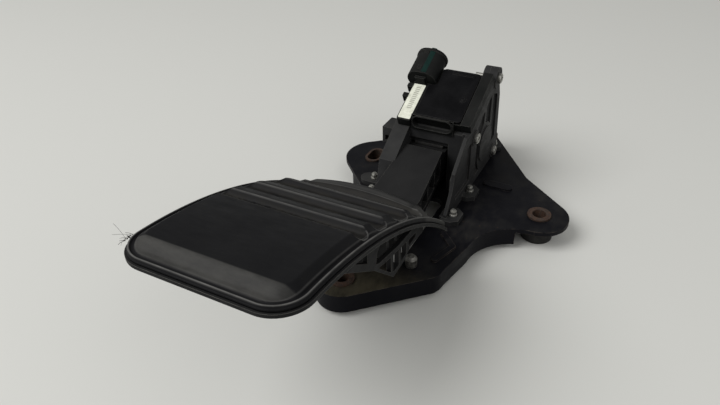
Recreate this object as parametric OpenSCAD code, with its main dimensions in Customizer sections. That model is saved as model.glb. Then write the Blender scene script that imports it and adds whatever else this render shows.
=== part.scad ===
// Suspended accelerator pedal module on a stamped steel mounting plate.
// X runs across the pedal, +Y from the pad up along the plate, +Z from the plate
// towards the driver. The shapes are laid out from the pedal's middle plane, and
// at_datum() moves them so that the round hole in the right ear is the origin.

/* [Pedal pad] */
// Width of the pad across its rim
pad_w = 62.4; // [60:0.2:64]
// Offset of the pad to the right of the arm's middle plane
pad_shift = 0.9; // [0:0.1:1.2]
// Radius of the pad's curved tread
pad_r = 176; // [172:0.5:180]
// Distance of the pad's front edge from the plate's middle, towards the driver's foot
pad_front = 170.2; // [168:0.2:172]
// Distance of the pad's rear edge from the plate's middle
pad_rear = 58; // [56:0.5:60]
// Height of the pad's front edge over the mounting face
pad_h = 79.6; // [78:0.2:81]
// Angle at which the tread falls away at the front edge
pad_fall = 2.2; // [1.6:0.1:2.8]
// Rounding of the pad's two front corners
pad_corner = 11.5; // [9:0.5:14]
// Thickness of the tread cover
tread_t = 1.3; // [1.2:0.1:1.6]
// Thickness of the moulded plate under the tread
backing_t = 1.3; // [1.2:0.1:1.8]
// Setback of the tread cover from the backing's edge
tread_inset = 0.8; // [0.4:0.1:1.2]
// Height of the raised field and the ribs on the tread
field_h = 2.7; // [2.4:0.1:3.2]
// Height of the crowned lip at the pad's rear
lip_h = 5.9; // [5.3:0.1:6.3]
// Height of the bead round the tread's rim
bead_h = 0.6; // [0.4:0.1:0.9]
// Width of the bead round the tread's rim
bead_w = 1.4; // [1.2:0.1:2]

/* [Pedal arm] */
// Width of the arm where it enters the housing
arm_w = 19; // [18:0.25:19.4]
// Width of the arm under the pad
arm_foot_w = 26; // [25:0.25:26.5]
// Thickness of the arm's middle web and of its ribs
web_t = 3; // [2.4:0.1:3.6]
// Radius of the arm's hub
hub_r = 8.5; // [8:0.1:9]
// Travel of the pedal from idle to full throttle, in degrees
travel = 11.5; // [10:0.5:11.5]

/* [Pivot] */
// Distance of the pivot behind the housing's front face line
pivot_y = 22; // [21:0.25:23]
// Height of the pivot over the mounting face
pivot_z = 29; // [28.5:0.25:29.5]
// Radius of the pivot shaft
shaft_r = 4; // [3.5:0.1:4.4]
// Radial running clearance of the shaft in its bushes
shaft_gap = 0.04; // [0.02:0.01:0.08]
// Wall of a pivot bush
bush_wall = 2; // [1.6:0.1:2.2]

/* [Mounting plate] */
// Thickness of the steel sheet
sheet_t = 2.2; // [1.8:0.1:2.6]
// Height of the sheet's upper face over the mounting face
sheet_z = 12; // [11.5:0.1:12.4]
// Height at which the folded edge ends over the mounting face
skirt_z = 3; // [2:0.25:5]
// Right ear, distance from the pedal's middle plane
ear_right_x = 59.5; // [57:0.5:62]
// Right ear, distance along the plate
ear_right_y = -5; // [-7:0.5:-3]
// Radius of the right ear
ear_right_r = 14; // [12.5:0.25:14.5]
// Left ear, distance from the pedal's middle plane
ear_left_x = -37; // [-40:0.5:-36]
// Left ear, distance along the plate
ear_left_y = 12; // [10:0.5:14]
// Radius of the left ear
ear_left_r = 16.5; // [15:0.25:17]
// Lower lobe, distance along the plate
lobe_y = -86; // [-87:0.5:-85]
// Radius of the lower lobe
lobe_r = 11.5; // [11:0.25:12]
// Radius of the bolt holes in the three bushes
bolt_r = 3.3; // [2.8:0.05:3.6]
// Wall of the steel bushes in the ears
collar_wall = 2.3; // [1.8:0.1:2.5]
// Height by which the bushes stand proud of the sheet
collar_proud = 0.9; // [0.5:0.1:1.4]
// Half length of the oblong hole in the left ear, between its arc centres
slot_half = 2.5; // [1.5:0.25:3]
// Wall of the rubber stand-offs round the bushes
standoff_wall = 1.9; // [1.5:0.1:2.3]
// Half width of the relief window under the arm
window_half = 14; // [13.75:0.25:14.5]

/* [Housing] */
// Width of the moulded housing without its side cover
housing_w = 36; // [35.5:0.25:37]
// Wall of the moulded housing
wall = 3.5; // [3:0.1:3.8]
// Thickness of the side cover
cover_t = 3.5; // [3:0.1:4]
// Height of the housing's front face over the mounting face
front_h = 45; // [44.5:0.1:46]
// Slope of the housing's roof in degrees
roof_slope = 10; // [9:0.25:11]
// Distance of the housing's rear wall from the plate's middle
rear_y = 44; // [43.5:0.25:45]
// Height of the opening's upper edge, which the arm passes under
mouth_z = 35.5; // [35.2:0.1:36]
// Clearance at each side of the arm in the opening
mouth_gap = 0.5; // [0.4:0.05:0.8]

/* [Sensor] */
// Depth of the sensor housing on the roof
sensor_h = 4.6; // [4.2:0.1:5]
// Thickness of the sensor lid
lid_t = 1.7; // [1.4:0.1:2.2]
// Thickness of the lid's seal
seal_t = 0.3; // [0.2:0.05:0.5]
// Width of the connector shroud
shroud_w = 19; // [18:0.25:20]
// Height of the connector shroud
shroud_h = 13; // [12.5:0.25:14]
// Length of the connector shroud
shroud_l = 25; // [23:0.5:27]

/* [Hidden] */
$fn = 64;

// Colours
plate_black = [0.07, 0.07, 0.08];
moulded_black = [0.09, 0.09, 0.095];
gloss_black = [0.05, 0.05, 0.055];
rust = [0.33, 0.20, 0.13];
zinc = [0.72, 0.72, 0.68];
steel = [0.6, 0.6, 0.6];
rubber = [0.05, 0.05, 0.05];
teal = [0.05, 0.35, 0.33];
paper_white = [0.85, 0.85, 0.78];
board_green = [0.08, 0.3, 0.16];

// Small lengths that several pieces share
seat = 0.05;
over = 1;
far = 400;

// Tread: the arc's centre, and the angle of a place on it
arc_y = -pad_front - pad_r * sin(pad_fall);
arc_z = pad_h - pad_r * cos(pad_fall);
function tread_angle(y) = asin((y - arc_y) / pad_r);
function tread_z(y, drop = 0) = arc_z + sqrt(pow(pad_r - drop, 2) - pow(y - arc_y, 2));
backing_r = pad_r - tread_t - seat;
under_r = backing_r - backing_t;
field_front = -pad_front + 8.7;
field_rear = -134;
rib_h = field_h - 0.25;
// Front and rear edge of each pocket between the ribs
pockets = [[-128, -121.5], [-116.5, -108.5], [-102, -91.5], [-87, -78]];
lip_y = -71.5;

// Pivot and hub
half_arm = arm_w / 2;
half_foot = arm_foot_w / 2;
bush_r = shaft_r + shaft_gap + bush_wall;
boss_r = bush_r + 2.4;
boss_gap = 0.5;
shaft_half = housing_w / 2 - 1.4;

// Housing places
half_housing = housing_w / 2;
front_y = -2;
foot_y = -29;
roof_y = front_y + 1;
function roof_z(y) = front_h + (y - roof_y) * tan(roof_slope);
half_mouth = half_arm + mouth_gap;
post_back = front_y + 5;
cavity_x = half_housing - wall;
ceiling = 2.5;
cover_x = half_housing + cover_t;
ear_boss = [rear_y + 3.5, roof_z(rear_y) + 2];
ear_boss_r = 6;
screw_places = [[5, roof_z(5) - 6], [rear_y - 6, sheet_z + 4.5], ear_boss];
screw_r = 1.2;
screw_boss_r = 3.2;
screw_head_r = 2.6;
lug_r = 4.2;
lug_h = 2.6;
stud_r = 1.5;
right_lugs = [[half_housing + 5.5, foot_y + 5], [half_housing + 5.5, foot_y + 28],
    [half_housing + 1.8, rear_y + 4]];
left_lugs = [[-half_housing - 3.2, foot_y + 5], [-half_housing - 3.2, foot_y + 28]];
stud_top = sheet_z + lug_h + 5;

// Spring places
spring_y = pivot_y + 13;
shoe_r = 5.6;
shoe_z = pivot_z + 5;
shoe_t = 1.3;
cup_t = 1.5;
cup_z = roof_z(spring_y - shoe_r - 1) - ceiling - cup_t - 0.2;
spring_bottom = shoe_z + shoe_t + seat;
spring_top = cup_z - seat;

// Plate places
right_ear = [ear_right_x, ear_right_y];
left_ear = [ear_left_x, ear_left_y];
lobe = [-4, lobe_y];
apex = [9, 60.5];
apex_r = 7.6;
shoulder = [40, 20];
shoulder_r = 7.1;
low_right = [24, -63];
low_right_r = 9;
low_left = [-15, -62];
low_left_r = 9;
right_waist = [61, -43];
right_waist_r = 24;
left_waist_r = 30;
left_waist_x = -54;
// The left waist's arc runs on from the ear's slanting edge
left_waist = [left_waist_x, ear_left_x + ear_left_y - (ear_left_r + left_waist_r) * sqrt(2) - left_waist_x];
spacer = [12, 59];
spacer_r = 5.5;
spacer_h = 16;
collar_r = bolt_r + collar_wall;
standoff_r = collar_r + standoff_wall;
stop_place = [19, -65];
stop_r = 2.7;
stop_margin = 1.6;
// The stop bolt meets the underside of the backing plate at full throttle
stop_arm = pivot_y - stop_place[1];
stop_contact_z = tread_z(stop_place[1], tread_t + seat + backing_t);
stop_top = pivot_z + (stop_contact_z - pivot_z) * cos(travel) - stop_arm * sin(travel)
    - stop_margin;

// Placing and profile helpers
module at_datum() {
    translate([-ear_right_x, -ear_right_y, 0]) children();
}

// A profile drawn in the side view (Y, Z), extruded from x0 to x1
module across(x0, x1) {
    translate([x0, 0, 0]) rotate([90, 0, 90]) linear_extrude(x1 - x0) children();
}

// A cylinder lying across the pedal at (y, z)
module cross_cylinder(y, z, r, x0, x1) {
    translate([x0, y, z]) rotate([0, 90, 0]) cylinder(h = x1 - x0, r = r);
}

// The outline round two circles. Its sides lie a slip outside them, so that a side and
// an arc never only graze each other
module strap(a, ra, b, rb, slip = 0) {
    span = b - a;
    turn = atan2(span[1], span[0]);
    open = acos((ra - rb) / norm(span));
    one = [cos(turn + open), sin(turn + open)];
    two = [cos(turn - open), sin(turn - open)];
    translate(a) circle(r = ra);
    translate(b) circle(r = rb);
    polygon([a + (ra + slip) * one, b + (rb + slip) * one, b + (rb + slip) * two, a + (ra + slip) * two]);
}

// The roof's own frame: y runs up the slope from the front edge, z stands on the roof
module on_roof() {
    translate([0, roof_y, front_h]) rotate([roof_slope, 0, 0]) children();
}

// A solid tube along X between two radii round the tread's centre, wider than the pad
module tread_band(outer, inner) {
    reach = pad_w;
    difference() {
        cross_cylinder(arc_y, arc_z, outer, -reach, reach, $fn = 180);
        cross_cylinder(arc_y, arc_z, inner, -reach - over, reach + over, $fn = 180);
    }
}

// The pad's outline in plan, drawn back by an inset
module pad_outline(inset) {
    half = pad_w / 2 - inset;
    front = -pad_front + inset;
    rear = -pad_rear - inset;
    corner = pad_corner - inset;
    translate([pad_shift - half, front + corner]) square([2 * half, rear - front - corner]);
    translate([pad_shift - half + corner, front]) square([2 * half - 2 * corner, corner + over]);
    for (side = [-1, 1])
        translate([pad_shift + side * (half - corner), front + corner]) circle(r = corner);
}

// A raised part of the tread between y0 and y1 that follows its arc, with sloping sides
module raised(y0, y1, half, side, height) {
    root = 1;
    low = tread_angle(y0);
    high = tread_angle(y1);
    translate([pad_shift, arc_y, arc_z]) rotate([0, 90, 0]) rotate([0, 0, 180 - high])
        rotate_extrude(angle = high - low, $fn = 180)
            polygon([[pad_r - root, -half], [pad_r, -half], [pad_r + height, side - half],
                [pad_r + height, half - side], [pad_r, half], [pad_r - root, half]]);
}

// A rectangle between two corners, with rounded corners
module rounded_rect(low, high, r) {
    translate([low[0] + r, low[1]]) square([high[0] - low[0] - 2 * r, high[1] - low[1]]);
    translate([low[0], low[1] + r]) square([high[0] - low[0], high[1] - low[1] - 2 * r]);
    for (x = [low[0] + r, high[0] - r])
        for (y = [low[1] + r, high[1] - r])
            translate([x, y]) circle(r = r);
}

// Mounting plate

// The sheet's outline with every edge drawn back by an inset
module plate_outline(inset) {
    slant = [1, 1] / sqrt(2);
    slip = 0.01;
    strap(left_ear, ear_left_r - inset, apex, apex_r - inset, slip);
    strap(apex, apex_r - inset, shoulder, shoulder_r - inset, slip);
    strap(shoulder, shoulder_r - inset, right_ear, ear_right_r - inset, slip);
    strap(low_left, low_left_r - inset, lobe, lobe_r - inset, slip);
    strap(lobe, lobe_r - inset, low_right, low_right_r - inset, slip);
    polygon([left_ear, apex, shoulder, low_right, lobe, low_left]);
    difference() {
        polygon([shoulder, right_ear, [right_waist[0], ear_right_y - ear_right_r + inset],
            right_waist, right_waist - [right_waist_r + inset, 0],
            low_right + [low_right_r - inset, 0], low_right]);
        translate(right_waist) circle(r = right_waist_r + inset);
    }
    difference() {
        polygon([left_ear, low_left, low_left - [low_left_r - inset + slip, 0],
            left_waist + [left_waist_r + inset - slip, 0], left_waist,
            left_waist + slant * (left_waist_r + inset - slip),
            left_ear - slant * (ear_left_r - inset + slip)]);
        translate(left_waist) circle(r = left_waist_r + inset);
    }
}

// A round-ended slot along Y, its arc centres a half length from the middle
module oblong(half, r) {
    hull() {
        translate([0, half]) circle(r = r, $fn = 40);
        translate([0, -half]) circle(r = r, $fn = 40);
    }
}

// The relief window under the arm
module arm_window() {
    rounded_rect([-window_half, -67], [window_half, -13], 4);
}

module plate_holes() {
    translate(right_ear) circle(r = collar_r + seat);
    translate(lobe) circle(r = collar_r + seat);
    translate(left_ear) oblong(slot_half, collar_r - 1 + seat);
    for (place = concat(right_lugs, left_lugs))
        translate(place) circle(r = stud_r + seat);
    translate(stop_place) circle(r = 1.5 + seat);
}

// An embossed bead, proud of the sheet
module bead(a, b, r) {
    bead_h = 0.9;
    translate([0, 0, sheet_z - 0.1]) linear_extrude(bead_h + 0.1) strap(a, r, b, r);
}

module mounting_plate() {
    color(plate_black) at_datum() {
        difference() {
            union() {
                translate([0, 0, sheet_z - sheet_t]) linear_extrude(sheet_t) plate_outline(0);
                difference() {
                    translate([0, 0, skirt_z]) linear_extrude(sheet_z - sheet_t - skirt_z + 0.1)
                        difference() {
                            plate_outline(0);
                            plate_outline(sheet_t);
                        }
                    // The folded edge runs out before the ears
                    translate([ear_right_x, ear_right_y, 0]) cylinder(h = far, r = ear_right_r + 3, center = true);
                    translate([ear_left_x, ear_left_y, 0]) cylinder(h = far, r = ear_left_r + 3, center = true);
                }
                bead([29, 11], [39, 11], 2.6);
                bead([27, -58], [31, -46], 1.4);
                bead([31, -46], [24, -39], 1.4);
            }
            translate([0, 0, sheet_z - 2 * sheet_t]) linear_extrude(4 * sheet_t) {
                arm_window();
                plate_holes();
            }
        }
    }
}

// A steel bush through an ear, with a round bore
module round_collar(place) {
    difference() {
        translate(place) cylinder(h = sheet_z + collar_proud, r = collar_r);
        translate([place[0], place[1], -over]) cylinder(h = sheet_z + collar_proud + 2 * over, r = bolt_r);
    }
}

// A rubber ring round a bush, under the sheet
module round_standoff(place) {
    lift = 0.3;
    difference() {
        translate([place[0], place[1], lift]) cylinder(h = sheet_z - sheet_t - lift, r = standoff_r);
        translate([place[0], place[1], -over]) cylinder(h = sheet_z, r = collar_r + seat);
    }
}

module right_collar() {
    color(rust) at_datum() round_collar(right_ear);
}

module lower_collar() {
    color(rust) at_datum() round_collar(lobe);
}

// The left bush is oblong, so that the module can be set square
module left_collar() {
    color(rust) at_datum() translate(left_ear) linear_extrude(sheet_z + collar_proud) difference() {
        oblong(slot_half, collar_r - 1);
        oblong(slot_half, bolt_r);
    }
}

module right_standoff() {
    color(rubber) at_datum() round_standoff(right_ear);
}

module lower_standoff() {
    color(rubber) at_datum() round_standoff(lobe);
}

module left_standoff() {
    lift = 0.3;
    color(rubber) at_datum() translate([ear_left_x, ear_left_y, lift])
        linear_extrude(sheet_z - sheet_t - lift) difference() {
            oblong(slot_half, standoff_r - 1);
            oblong(slot_half, collar_r - 1 + seat);
        }
}

// The tall nut on the plate's upper point
module top_spacer() {
    flange_t = 2;
    color(rust) at_datum() translate([spacer[0], spacer[1], sheet_z]) difference() {
        union() {
            cylinder(h = spacer_h, r = spacer_r, $fn = 6);
            cylinder(h = flange_t, r = spacer_r + 0.9);
        }
        translate([0, 0, flange_t]) cylinder(h = spacer_h, r = bolt_r);
    }
}

// The stop that the pad's backing plate meets at full throttle
module stop_bolt() {
    bevel = 1.2;
    shank_r = 1.5;
    bottom = sheet_z - sheet_t - 2;
    color(zinc) at_datum() translate([stop_place[0], stop_place[1], 0])
        rotate_extrude()
            polygon([[0, bottom], [shank_r, bottom], [shank_r, sheet_z], [stop_r, sheet_z],
                [stop_r, stop_top - bevel], [stop_r - 1, stop_top], [0, stop_top]]);
}

// Housing

// Side view of the moulded housing
module housing_profile() {
    polygon([[foot_y, sheet_z], [foot_y, sheet_z + 2.5], [front_y - 1, sheet_z + 14], [front_y, front_h - 0.4],
        [roof_y, front_h], [rear_y - 1.5, roof_z(rear_y - 1.5)], [rear_y + 1, roof_z(rear_y) - 2.5],
        [rear_y - 0.5, sheet_z]]);
}

// Side view of the space that the hub and the springs move in
module cavity_profile() {
    polygon([[post_back, sheet_z - over], [post_back, roof_z(post_back) - ceiling],
        [rear_y - 3, roof_z(rear_y - 3) - ceiling], [rear_y - 3, sheet_z - over]]);
}

module lug(place) {
    translate([place[0], place[1], sheet_z]) cylinder(h = lug_h, r = lug_r);
}

module lug_hole(place) {
    translate([place[0], place[1], sheet_z - over]) cylinder(h = lug_h + 2 * over, r = stud_r + seat);
}

module screw_holes(x0, x1) {
    for (place = screw_places) cross_cylinder(place[0], place[1], screw_r + seat, x0, x1);
}

module housing_body() {
    color(moulded_black) at_datum() difference() {
        union() {
            difference() {
                across(-half_housing, half_housing) housing_profile();
                across(-cavity_x, half_housing + over) cavity_profile();
                // The arm's mouth under the crossbar, and the open trough in front of it
                translate([-half_mouth, foot_y - over, sheet_z - over])
                    cube([2 * half_mouth, post_back - foot_y + 2 * over, mouth_z - sheet_z + over]);
                translate([-cavity_x, foot_y - over, sheet_z - over])
                    cube([2 * cavity_x, front_y - foot_y - 0.5, far]);
            }
            // Bush boss on the left wall
            cross_cylinder(pivot_y, pivot_z, boss_r, -cavity_x - over, -half_arm - boss_gap - 0.2);
            // Screw bosses that carry the side cover
            for (i = [0, 1])
                cross_cylinder(screw_places[i][0], screw_places[i][1], screw_boss_r, -cavity_x - over, half_housing);
            cross_cylinder(ear_boss[0], ear_boss[1], ear_boss_r, half_housing - 9, half_housing);
            // Spring seat under the roof
            intersection() {
                translate([0, spring_y, cup_z + cup_t]) cylinder(h = 8, r = shoe_r + 1);
                across(-half_housing, half_housing) housing_profile();
            }
            for (place = left_lugs) lug(place);
            // Stiffening ribs on the left wall
            for (y = [10, 20, 30])
                translate([-half_housing - 1.2, y, sheet_z]) cube([1.6, 1.8, roof_z(y) - sheet_z - 4]);
        }
        cross_cylinder(pivot_y, pivot_z, bush_r + seat, -half_housing + 1, 0);
        screw_holes(half_housing - 12, half_housing + over);
        for (place = left_lugs) lug_hole(place);
    }
}

// Side view of the side cover, which stands a little past the housing
module cover_profile() {
    lip = 2;
    polygon([[foot_y + lip, sheet_z], [foot_y + lip, sheet_z + 3], [front_y - 2.5, sheet_z + 14],
        [front_y - lip, front_h + 5], [rear_y - 5, roof_z(rear_y) + 8.5],
        [rear_y + lip, roof_z(rear_y) + 5.5], [rear_y + lip, sheet_z]]);
}

module side_cover() {
    rim = 1.2;
    color(moulded_black) at_datum() difference() {
        union() {
            across(half_housing, cover_x) cover_profile();
            cross_cylinder(ear_boss[0], ear_boss[1], ear_boss_r, half_housing, cover_x + 0.6);
            cross_cylinder(pivot_y, pivot_z, boss_r, half_arm + boss_gap + 0.2, half_housing + over);
            for (place = right_lugs) lug(place);
            // Raised screw bosses and the pivot's boss on the outside
            cross_cylinder(pivot_y, pivot_z, boss_r + 1, cover_x - over, cover_x + 0.8);
            for (i = [0, 1])
                cross_cylinder(screw_places[i][0], screw_places[i][1], screw_boss_r + 0.8, cover_x - over, cover_x + 0.6);
        }
        // Shallow panels between the cover's ribs
        across(cover_x - rim, cover_x + over) difference() {
            polygon([[front_y + 5, sheet_z + 4], [front_y + 5, front_h - 10], [rear_y - 5, front_h - 2],
                [rear_y - 5, sheet_z + 10], [rear_y - 14, sheet_z + 4]]);
            translate([pivot_y, pivot_z]) circle(r = boss_r + 2.5);
            for (y = [front_y + 11, rear_y - 12]) translate([y, 0]) square([2, far]);
        }
        cross_cylinder(pivot_y, pivot_z, bush_r + seat, 0, cover_x - 1.5);
        screw_holes(half_housing - over, cover_x + 2 * over);
        for (place = right_lugs) lug_hole(place);
    }
}

module cover_screws() {
    head_t = 1.6;
    color(zinc) at_datum() for (place = screw_places) {
        cross_cylinder(place[0], place[1], screw_head_r, cover_x + 0.6, cover_x + 0.6 + head_t);
        cross_cylinder(place[0], place[1], screw_r, half_housing - 8, cover_x + 0.7);
    }
}

module foot_studs() {
    color(zinc) at_datum() for (place = concat(right_lugs, left_lugs))
        translate([place[0], place[1], sheet_z - sheet_t - 1.5])
            cylinder(h = stud_top - sheet_z + sheet_t + 1.5, r = stud_r);
}

// The small box clipped to the left wall
module side_clip() {
    color(moulded_black) at_datum() difference() {
        translate([-half_housing - 7, front_y - 1, mouth_z - 4]) cube([7, 11, 9]);
        translate([-half_housing - 5.5, front_y - 2, mouth_z - 2.5]) cube([4, 9, 3]);
    }
}

// The rubber strip under the crossbar that the arm rests on at idle
module idle_bumper() {
    color(rubber) at_datum()
        translate([-half_arm + 2, front_y + 0.5, mouth_z - 1.2]) cube([arm_w - 4, 4, 1.2]);
}

module bush(x0, x1) {
    difference() {
        cross_cylinder(pivot_y, pivot_z, bush_r, x0, x1);
        cross_cylinder(pivot_y, pivot_z, shaft_r + shaft_gap, x0 - over, x1 + over);
    }
}

module left_bush() {
    color(zinc) at_datum() bush(-half_housing + 1.1, -half_arm - boss_gap);
}

module right_bush() {
    color(zinc) at_datum() bush(half_arm + boss_gap, cover_x - 1.6);
}

module spring_cup() {
    color(zinc) at_datum() translate([0, spring_y, cup_z]) cylinder(h = cup_t, r = shoe_r + 0.2);
}

// Sensor module on the roof
sensor_left = -half_housing + 1;
sensor_right = half_housing - 2;
sensor_back = rear_y - 5;
shroud_right = -8.6;
shroud_x = shroud_right - shroud_w / 2;
lid_left = shroud_right + 0.3;
lid_right = sensor_right - 1;
shroud_y = sensor_back - 15;
shroud_z = sensor_h + 2.5;
shroud_wall = 1.8;
board_z = 1.4;
board_t = 1;

// The shroud's mouth outline, seen along the roof
module shroud_outline(inset) {
    r = shroud_h / 2 - inset;
    reach = shroud_w / 2 - shroud_h / 2;
    strap([-reach, 0], r, [reach, 0], r);
}

// Extrudes a profile up the roof's slope from y0 to y1, centred on the shroud
module along_shroud(y0, y1) {
    translate([shroud_x, y1, shroud_z]) rotate([90, 0, 0]) linear_extrude(y1 - y0) children();
}

module sensor_body() {
    slot_half_w = 9;
    slot_depth = 4;
    color(moulded_black) at_datum() on_roof() difference() {
        union() {
            translate([sensor_left, 0, 0]) cube([sensor_right - sensor_left, sensor_back, sensor_h]);
            along_shroud(shroud_y, shroud_y + shroud_l) shroud_outline(0);
            // Neck between the tray and the shroud
            translate([shroud_x, shroud_y, 0]) cube([shroud_w / 2 - 2, shroud_l - 10, shroud_z]);
            // Rounded rim round the front slot
            translate([0, slot_depth - 0.5, sensor_h / 2]) rotate([90, 0, 0]) linear_extrude(slot_depth + 0.3)
                strap([-slot_half_w, 0], sensor_h / 2, [slot_half_w, 0], sensor_h / 2);
            // Latch hooks on the connector's left side
            for (y = [shroud_y + 1, shroud_y + 8])
                translate([shroud_x - shroud_w / 2 - 1.5, y, shroud_z - 2]) cube([4, 3, 3.5]);
        }
        // Pocket for the circuit board
        translate([lid_left + 1.5, 6, board_z]) cube([lid_right - lid_left - 3, sensor_back - 9, sensor_h]);
        // Front slot
        translate([0, slot_depth - 1, sensor_h / 2]) rotate([90, 0, 0]) linear_extrude(slot_depth + 1)
            strap([-slot_half_w, 0], sensor_h / 2 - 1, [slot_half_w, 0], sensor_h / 2 - 1);
        // The connector's socket, open at the far end
        along_shroud(shroud_y + 9, shroud_y + shroud_l + over) shroud_outline(shroud_wall);
        // Window for the coloured insert
        translate([shroud_x - 2.5, shroud_y + 2, shroud_z + shroud_h / 2 - 1.2]) cube([5, shroud_l - 7, 2]);
        // Seat of the terminal pins
        for (pin = [0:5])
            translate([shroud_x - 5 + pin * 2 - 0.5, shroud_y + 5, shroud_z - 0.5]) cube([1, 5, 1]);
    }
}

module lid_seal() {
    color(rubber) at_datum() on_roof() translate([lid_left, 4, sensor_h]) difference() {
        cube([lid_right - lid_left, sensor_back - 5, seal_t]);
        translate([1.2, 1.2, -over])
            cube([lid_right - lid_left - 2.4, sensor_back - 7.4, seal_t + 2 * over]);
    }
}

module sensor_lid() {
    lid_w = lid_right - lid_left;
    lid_l = sensor_back - 5;
    color(gloss_black) at_datum() on_roof() translate([lid_left, 4, sensor_h + seal_t]) {
        linear_extrude(lid_t) rounded_rect([0, 0], [lid_w, lid_l], 2.5);
        // Staked pin and the ridge at the far edge
        translate([lid_w - 6, lid_l * 0.45, lid_t - 0.1]) cylinder(h = 0.7, r = 1.8);
        translate([3, lid_l - 3, lid_t - 0.1]) cube([lid_w - 6, 2, 0.9]);
    }
}

module circuit_board() {
    color(board_green) at_datum() on_roof()
        translate([lid_left + 1.8, 6.3, board_z]) cube([lid_right - lid_left - 3.6, sensor_back - 9.6, board_t]);
}

module hall_sensor() {
    color(gloss_black) at_datum() on_roof()
        translate([-2, pivot_y - roof_y - 2, board_z + board_t]) cube([5, 4, 1.2]);
}

module connector_insert() {
    color(teal) at_datum() on_roof()
        translate([shroud_x - 2.4, shroud_y + 2.1, shroud_z + shroud_h / 2 - 1.2])
            cube([4.8, shroud_l - 7.2, 1.3]);
}

module terminal_pins() {
    color(steel) at_datum() on_roof() for (pin = [0:5])
        translate([shroud_x - 5 + pin * 2 - 0.4, shroud_y + 5.5, shroud_z - 0.4]) cube([0.8, 12, 0.8]);
}

// The plain white label beside the lid
module label() {
    color(paper_white) at_datum() on_roof()
        translate([sensor_left + 0.4, 1, sensor_h]) cube([6, 21, 0.25]);
}

// Pedal lever

// The arm's outline in plan: narrow in the housing, wide under the pad
module arm_plan() {
    polygon([[-half_arm + 2.5, rear_y], [half_arm - 2.5, rear_y], [half_arm - 2.5, pivot_y + hub_r - 1],
        [half_arm, pivot_y + hub_r - 3], [half_arm, -4],
        [half_arm + 2.5, -40], [half_foot, -60], [half_foot, -pad_front], [-half_foot, -pad_front],
        [-half_foot, -60], [-half_arm - 2.5, -40], [-half_arm, -4],
        [-half_arm, pivot_y + hub_r - 3], [-half_arm + 2.5, pivot_y + hub_r - 1]]);
}

// Side view of the arm from the hub to the pad
module arm_profile() {
    polygon([[pivot_y, pivot_z + hub_r], [pivot_y - 6, mouth_z - 1.5], [front_y - 1.5, mouth_z - 1.5],
        [front_y - 6, mouth_z + 1], [-40, 28.5], [-53, 29.5],
        [-61, tread_z(-61, tread_t + seat + backing_t / 2)], [-63, 27], [-60, 21],
        [-50, 17.8], [-32, 16.8], [-12, 20.5], [pivot_y, pivot_z - hub_r]]);
}

// Side view of the deep ribs that carry the pad; the tread's arc closes it above
module truss_profile() {
    polygon([[-55, 29], [-60, 24], [-66, 31.5], [-76, 34.5], [-98, 39.5], [-124, 55], [-138, 62],
        [-150, 72], [-150, far / 4], [-55, far / 4]]);
}

module truss_windows() {
    polygon([[-75, 37.4], [-90.5, 41], [-90.5, 49.5], [-77, 41.5]]);
    polygon([[-93.5, 41.5], [-98, 42.6], [-105, 46.8], [-94.5, 51.5]]);
    polygon([[-108.5, 49], [-119, 55.2], [-118, 60], [-97.5, 53.2]]);
}

// Pockets that leave the arm's middle web, its edges and its cross ribs
module arm_pockets() {
    difference() {
        polygon([[-10, 23.6], [-10, 33.2], [-40, 25.8], [-53, 26.8], [-57, 29], [-57, 23], [-50, 20.6],
            [-32, 19.6]]);
        for (y = [-19, -29, -39, -49]) translate([y, 0]) square([2, far]);
    }
}

module pedal_lever() {
    tail_half = 6;
    tail_t = 7;
    color(moulded_black) at_datum() difference() {
        union() {
            // Backing plate under the tread
            intersection() {
                tread_band(backing_r, under_r);
                linear_extrude(far) pad_outline(0);
            }
            // Arm
            intersection() {
                across(-half_foot, half_foot) arm_profile();
                linear_extrude(far) arm_plan();
            }
            // Side webs and middle web under the pad
            intersection() {
                union() {
                    for (x = [-half_foot, -web_t / 2, half_foot - web_t])
                        across(x, x + web_t) difference() {
                            truss_profile();
                            truss_windows();
                        }
                    // Cross ribs between the webs
                    intersection() {
                        across(-half_foot, half_foot) truss_profile();
                        for (y = [-62, -78, -92, -107, -122, -137])
                            translate([-half_foot, y - 1, 0]) cube([arm_foot_w, 2, far]);
                    }
                }
                cross_cylinder(arc_y, arc_z, under_r + 0.5, -half_foot - over, half_foot + over, $fn = 180);
            }
            // Hub, tail and the magnet's saddle
            cross_cylinder(pivot_y, pivot_z, hub_r, -half_arm, half_arm);
            translate([-tail_half, pivot_y, shoe_z - tail_t]) cube([2 * tail_half, spring_y + shoe_r - pivot_y, tail_t]);
            translate([-5, pivot_y - 4.5, pivot_z + 4]) cube([10, 9, hub_r - 3]);
        }
        for (side = [-1, 1])
            across(side > 0 ? web_t / 2 : -far / 10, side > 0 ? far / 10 : -web_t / 2) arm_pockets();
        cross_cylinder(pivot_y, pivot_z, shaft_r, -far / 10, far / 10);
    }
}

// The crowned lip at the tread's rear, with flanks that run down to the rim
module rear_lip() {
    root = tread_t / 2;
    length = 17;
    half = pad_w / 2 - tread_inset - 0.4;
    flank = 8;
    crown_r = 110;
    translate([pad_shift, arc_y, arc_z]) rotate([-tread_angle(lip_y), 0, 0]) translate([0, 0, pad_r])
        intersection() {
            across(-half, half)
                polygon([[-length / 2, -root], [length / 2, -root], [length / 2, 0.2],
                    [1, lip_h], [-3, lip_h], [-length / 2 + 0.8, lip_h - 2.2], [-length / 2, 0]]);
            translate([0, length / 2 + over, 0]) rotate([90, 0, 0]) linear_extrude(length + 2 * over)
                intersection() {
                    polygon([[-half, -root], [half, -root], [half, 0], [half - flank, lip_h],
                        [flank - half, lip_h], [-half, 0]]);
                    translate([0, lip_h - crown_r]) circle(r = crown_r, $fn = 180);
                }
        }
}

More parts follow.
